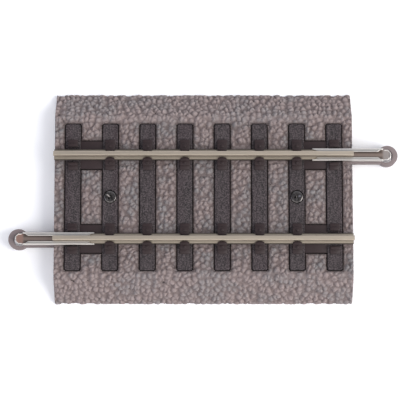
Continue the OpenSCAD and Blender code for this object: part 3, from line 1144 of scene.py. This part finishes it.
def folded_section(width, height, slot, sheet):
    """Mid-line of the folded sheet from lip edge to lip edge, as (y, z, part, wear_and_sheen) points,
    the last being the share of painted highlight.
    """
    half, bend, round_off = width / 2 - sheet / 2, 0.17 * MM, sheet / 2
    top, low = height - sheet / 2, sheet / 2
    flat = half - bend
    right = [((flat - round_off) * k / 10, low, "floor", 0.0) for k in range(11)]
    right += [(flat - round_off * d, low, "floor", 0.0) for d in (0.5, 0.13, 0.0)]
    for k in range(1, 6):
        turn = math.pi / 2 * k / 5
        right.append((flat + bend * math.sin(turn), low + bend - bend * math.cos(turn), "side", 0.1))
    for k in range(6):
        turn = math.pi / 2 * k / 5
        right.append((flat + bend * math.cos(turn), top - bend + bend * math.sin(turn), "side", 0.2 * k))
    edge = slot / 2
    for share, sag, wear_and_sheen in ((0.2, 0.012, 0.4), (0.4, 0.024, 0.0), (0.6, 0.02, 0.0), (0.75, 0.01, 0.1)):
        right.append((flat + (edge - flat) * share, top - sag * MM, "lip", wear_and_sheen))
    right += [(edge + round_off * d, top, "lip", 1.0) for d in (1.0, 0.5, 0.13, 0.0)]
    left = [(-y, z, part, wear_and_sheen) for y, z, part, wear_and_sheen in reversed(right[1:])]
    return left + right


def strip_places(start, stop, round_off, count, open_start=True):
    """Places from start to stop, close together where the sheet's ends are rounded."""
    way = 1 if stop > start else -1
    near = [round_off * d for d in (0.0, 0.13, 0.5, 1.0)]
    first = near if open_start else [0.0]
    span = abs(stop - start)
    middle = [first[-1] + (span - first[-1] - round_off) * k / count for k in range(1, count)]
    return [start + way * d for d in first + middle + [span - d for d in reversed(near)]]


def joiner_surface(joiners):
    """Mid-surface of a joiner: places, quads, room to the free edge, shares of floor and of painted edge
    highlight.
    """
    y_mid = (JOIN_LO.y + JOIN_HI.y) / 2
    inner, tip = JOIN_HI.x, JOIN_LO.x
    outer = -RAIL_END - joiners.reach
    width, height = JOIN_HI.y - JOIN_LO.y, JOIN_HI.z - JOIN_LO.z
    section = folded_section(width, height, joiners.slot, joiners.sheet)
    half, round_off = width / 2, joiners.sheet / 2
    floor_edge = max(y for y, z, part, wear_and_sheen in section if part == "floor")
    tip_half, rim_width, rim_height = 0.45 * MM, 0.20 * MM, 0.12 * MM
    places, index, free, floors, highlights = [], {}, [], [], []
    for c, (y, z, part, wear_and_sheen) in enumerate(section):
        start, stop = inner, outer
        if part == "lip":
            back = joiners.lip_cut * (half - abs(y)) / (half - joiners.slot / 2)
            start, stop = inner - back, outer + back
        rows = strip_places(start, stop, round_off, 40)
        if part == "floor":
            end = tip + max(0.0, abs(y) - tip_half)
            rows += strip_places(outer, end, round_off, 8, open_start=False)[1:]
        for k, x in enumerate(rows):
            lift = 0.0
            if part == "floor":
                side_room = math.hypot(floor_edge - abs(y), max(0.0, x - outer))
                room = min(start - x, x - end, side_room)
                rim = 1 - (x - end) / rim_width
                if x < outer:
                    fade = min(1.0, (outer - x) / (0.3 * MM))
                    rim = max(rim, fade * (1 - (floor_edge - abs(y)) / rim_width))
                lift = rim_height * max(0.0, min(1.0, rim)) ** 1.5
            else:
                room = min(start - x, x - stop)
                if part == "lip":
                    room = min(room, abs(y) - joiners.slot / 2)
            index[c, k] = len(places)
            places.append((x, y_mid + y, JOIN_LO.z + z + lift))
            free.append(max(0.0, room))
            floors.append(1.0 if part == "floor" and lift < 0.3 * rim_height else 0.0)
            # Painted highlight: brighter on the folds, the bent-up rim and near the free edges.
            bent_up = min(1.0, lift / (0.5 * rim_height))
            highlights.append(max(wear_and_sheen, bent_up, 1 - room / (1.3 * round_off), 0.0))
    quads = []
    for (c, k), a in index.items():
        corners = [a, index.get((c, k + 1)), index.get((c + 1, k + 1)), index.get((c + 1, k))]
        if None not in corners:
            quads.append(corners)
    return np.array(places), np.array(quads), np.array(free), floors, highlights


def thicken(middle, quads, room, round_off):
    """Both faces of a sheet about its mid-surface, closed and rounded at the free edges."""
    a, b, c, d = (middle[quads[:, corner]] for corner in range(4))
    across = np.cross(c - a, d - b)
    normals = np.zeros_like(middle)
    for corner in range(4):
        np.add.at(normals, quads[:, corner], across)
    normals /= np.linalg.norm(normals, axis=1)[:, None] + 1e-12
    sides = np.vstack([quads[:, (corner, (corner + 1) % 4)] for corner in range(4)])
    edges, uses = np.unique(np.sort(sides, axis=1), axis=0, return_counts=True)
    rim = np.unique(edges[uses == 1])
    depth = np.sqrt(1 - (1 - np.clip(room / round_off, 0.05, 1)) ** 2) * round_off
    depth[rim] = 0.0
    twin = np.arange(len(middle)) + len(middle)
    twin[rim] = rim
    offset = normals * depth[:, None]
    return np.vstack([middle + offset, middle - offset]), [*quads, *(twin[q][::-1] for q in quads)]


def fold_joiner(name, joiners, material, turned):
    """One joiner: sheet folded round the rail foot, lips cut at an angle, cut-corner tip."""
    middle, quads, room, floors, highlights = joiner_surface(joiners)
    points, faces = thicken(middle, quads, room, joiners.sheet / 2)
    if turned:
        points[:, :2] *= -1
    piece = mesh_object(name, points, faces, material)
    put_attribute(piece.data, "channel_floor", floors + floors)
    # The sheet's share of painted edge highlight, read by its material.
    put_attribute(piece.data, "worn_edge", highlights + highlights)
    bm = bmesh.new()
    bm.from_mesh(piece.data)
    bmesh.ops.delete(bm, geom=[v for v in bm.verts if not v.link_faces], context="VERTS")
    bmesh.ops.recalc_face_normals(bm, faces=bm.faces)
    bm.to_mesh(piece.data)
    bm.free()
    smooth(piece, 60)
    return piece


class TRACK_OT_joiners(bpy.types.Operator):
    """Fold the two rail joiners"""

    bl_idname = "track.joiners"
    bl_label = "Joiners"

    def execute(self, context):
        joiners = context.scene.track_joiners
        material = joiner_material(joiners)
        for node, turned in (("left_joiner", False), ("right_joiner", True)):
            piece = fold_joiner(node + "_sheet", joiners, material, turned)
            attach(piece, node)
            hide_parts(node)
        return {"FINISHED"}


# ---------------------------------------------------------------- screws


def screw_blank(screws):
    """A low domed head on a plain shank, turned about Z."""
    bm = bmesh.new()
    r, steps = screws.head, 32
    outline = [(0.0, 0.02), (r * 0.35, 0.015), (r * 0.7, -0.01), (r * 0.9, -0.05)]
    outline += [(r * 0.985, -0.11), (r, -0.2), (r, -0.44)]
    outline += [(0.6 * MM, -0.46), (0.6 * MM, -3.3), (0.3 * MM, -3.7), (0.0, -3.75)]
    turns = [math.tau * k / steps for k in range(steps)]
    rings = []
    for reach, z in outline:
        around = [(reach * math.cos(t), reach * math.sin(t)) for t in turns] if reach else [(0, 0)]
        rings.append([bm.verts.new((px, py, z * MM)) for px, py in around])
    for upper, lower in zip(rings, rings[1:]):
        for k in range(steps):
            n = (k + 1) % steps
            if len(upper) == 1:
                bm.faces.new((upper[0], lower[k], lower[n]))
            elif len(lower) == 1:
                bm.faces.new((upper[k], lower[0], upper[n]))
            else:
                bm.faces.new((upper[k], lower[k], lower[n], upper[n]))
    bmesh.ops.recalc_face_normals(bm, faces=bm.faces)
    return piece_from(bm, "screw_shape")


def cross_cutter(turn):
    """One arm of the cross recess, narrowing to a keel below, turned about Z by degrees."""
    bm = bmesh.new()
    arm, side, up, rim_z, deep = 0.82 * MM, 0.20 * MM, 0.3 * MM, -0.02 * MM, -0.42 * MM
    corners = [(-arm, -side), (arm, -side), (arm, side), (-arm, side)]
    top = [bm.verts.new((cx, cy, up)) for cx, cy in corners]
    rim = [bm.verts.new((cx, cy, rim_z)) for cx, cy in corners]
    keel = [bm.verts.new((0, cy, deep)) for cy in (-side * 0.6, side * 0.6)]
    bm.faces.new(top)
    for k in range(4):
        bm.faces.new((top[k], rim[k], rim[(k + 1) % 4], top[(k + 1) % 4]))
    bm.faces.new((rim[0], keel[0], rim[1]))
    bm.faces.new((rim[2], keel[1], rim[3]))
    bm.faces.new((rim[1], keel[0], keel[1], rim[2]))
    bm.faces.new((rim[3], keel[1], keel[0], rim[0]))
    bmesh.ops.recalc_face_normals(bm, faces=bm.faces)
    bm.transform(Matrix.Rotation(math.radians(turn), 4, "Z"))
    return piece_from(bm, "cross_cutter")


def screw_shape(screws):
    """A screw with a cross recess in its head and its edges eased."""
    screw = screw_blank(screws)
    cutters = [cross_cutter(turn) for turn in (30, 120)]
    for cutter in cutters:
        cut = screw.modifiers.new("cross", "BOOLEAN")
        cut.operation = "DIFFERENCE"
        cut.object = cutter
    apply_modifiers(screw)
    for cutter in cutters:
        bpy.data.objects.remove(cutter)
    ease_edges(screw, 0.045 * MM, 2, 40)
    return screw


class TRACK_OT_screws(bpy.types.Operator):
    """Stand the two cross-recess screws in their wells"""

    bl_idname = "track.screws"
    bl_label = "Screws"

    def execute(self, context):
        screws = context.scene.track_screws
        host = screw_shape(screws)
        tree = Tree("screw_pair_nodes")
        reach = tree.ask("Reach", "Float", SCREW_X)
        top = tree.ask("Top", "Float", SCREW_TOP)
        pair = tree.row(2, tree.xyz(reach * -1.0, z=top), tree.xyz(reach * 2.0))
        index = tree.add("GeometryNodeInputIndex")
        turn = tree.xyz(z=math.radians(18) - index * math.radians(30))
        laid = tree.lay(pair, Rotation=turn)
        piece = tree.run(laid, screw_material(screws), host, "cross_screws")
        smooth(piece, 30)
        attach(piece, TRACK)
        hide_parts("left_screw", "right_screw")
        return {"FINISHED"}


# ---------------------------------------------------------------- stage


LIGHTS = (
    ("key_right", (0.66, -0.16, 0.62), 0.66, 7.5, (1.0, 0.985, 0.965)),
    ("key_front", (-0.20, -0.56, 0.74), 1.00, 3.4, (1.0, 0.985, 0.97)),
    ("fill_left", (-0.60, -0.10, 0.50), 0.60, 1.5, (0.78, 0.82, 1.0)),
    ("fill_back", (0.12, 0.66, 0.56), 1.10, 2.2, (0.90, 0.94, 1.0)),
)


def area_light(name, place, size, power, rgb):
    """A soft disc of light that faces the origin."""
    light = bpy.data.lights.new(name, "AREA")
    light.shape = "DISK"
    light.size = size
    light.energy = power
    light.color = rgb
    lamp = bpy.data.objects.new(name, light)
    lamp.location = place
    lamp.rotation_euler = (-Vector(place)).to_track_quat("-Z", "Y").to_euler()
    bpy.context.scene.collection.objects.link(lamp)


class TRACK_OT_stage(bpy.types.Operator):
    """Set up the pale floor, the soft light and the camera"""

    bl_idname = "track.stage"
    bl_label = "Stage"

    def execute(self, context):
        stage = context.scene.track_stage
        scene = context.scene
        half = 3.0
        corners = [(-half, -half, 0), (half, -half, 0), (half, half, 0), (-half, half, 0)]
        floor = mesh_object("pale_floor", corners, [(0, 1, 2, 3)], floor_material(stage))
        world = bpy.data.worlds.new("soft_room")
        room = Sheet(world.name, world)
        aside = room.axes(room.add("ShaderNodeTexCoord", out="Generated"))[0]
        sky = (0.88, 0.90, 1.0)
        glow = room.mix(aside.above(0.22, 0.34), tint(sky, 0.24), tint(sky, 0.50))
        room.finish(Color=glow, Strength=1.0)
        scene.world = world
        for light in LIGHTS:
            area_light(*light)
        scene.view_settings.view_transform = "Standard"
        scene.view_settings.look = "None"
        camera = bpy.data.cameras.new("track_camera")
        camera.lens = stage.lens
        camera.sensor_width = 36.0
        camera.clip_start = 0.005
        camera.clip_end = 20.0
        eye = bpy.data.objects.new("track_camera", camera)
        aim = Vector((-0.000726, -0.000168, 0.0))
        eye.location = aim + Vector((0, -math.sin(stage.tilt), math.cos(stage.tilt))) * stage.distance
        eye.rotation_euler = (stage.tilt, 0, 0)
        scene.collection.objects.link(eye)
        scene.camera = eye
        return {"FINISHED"}


# ---------------------------------------------------------------- panel

STEPS = (
    TRACK_OT_ballast,
    TRACK_OT_sleepers,
    TRACK_OT_rails,
    TRACK_OT_joiners,
    TRACK_OT_screws,
    TRACK_OT_stage,
)


class TRACK_PT_section(bpy.types.Panel):
    """Lists the steps that build the track section"""

    bl_label = "Track section"
    bl_idname = "TRACK_PT_section"
    bl_space_type = "VIEW_3D"
    bl_region_type = "UI"
    bl_category = "Track section"

    def draw(self, context):
        for name, group in SETTINGS.items():
            box = self.layout.box()
            for key in group.__annotations__:
                box.prop(getattr(context.scene, name), key)
        for step in STEPS:
            self.layout.operator(step.bl_idname)


CLASSES = (*SETTINGS.values(), *STEPS, TRACK_PT_section)


def register():
    for cls in CLASSES:
        bpy.utils.register_class(cls)
    for name, group in SETTINGS.items():
        setattr(bpy.types.Scene, name, PointerProperty(type=group))


def unregister():
    for name in SETTINGS:
        delattr(bpy.types.Scene, name)
    for cls in reversed(CLASSES):
        bpy.utils.unregister_class(cls)


def main():
    register()
    for step in STEPS:
        group, action = step.bl_idname.split(".")
        getattr(getattr(bpy.ops, group), action)()


if __name__ == "__main__":
    main()
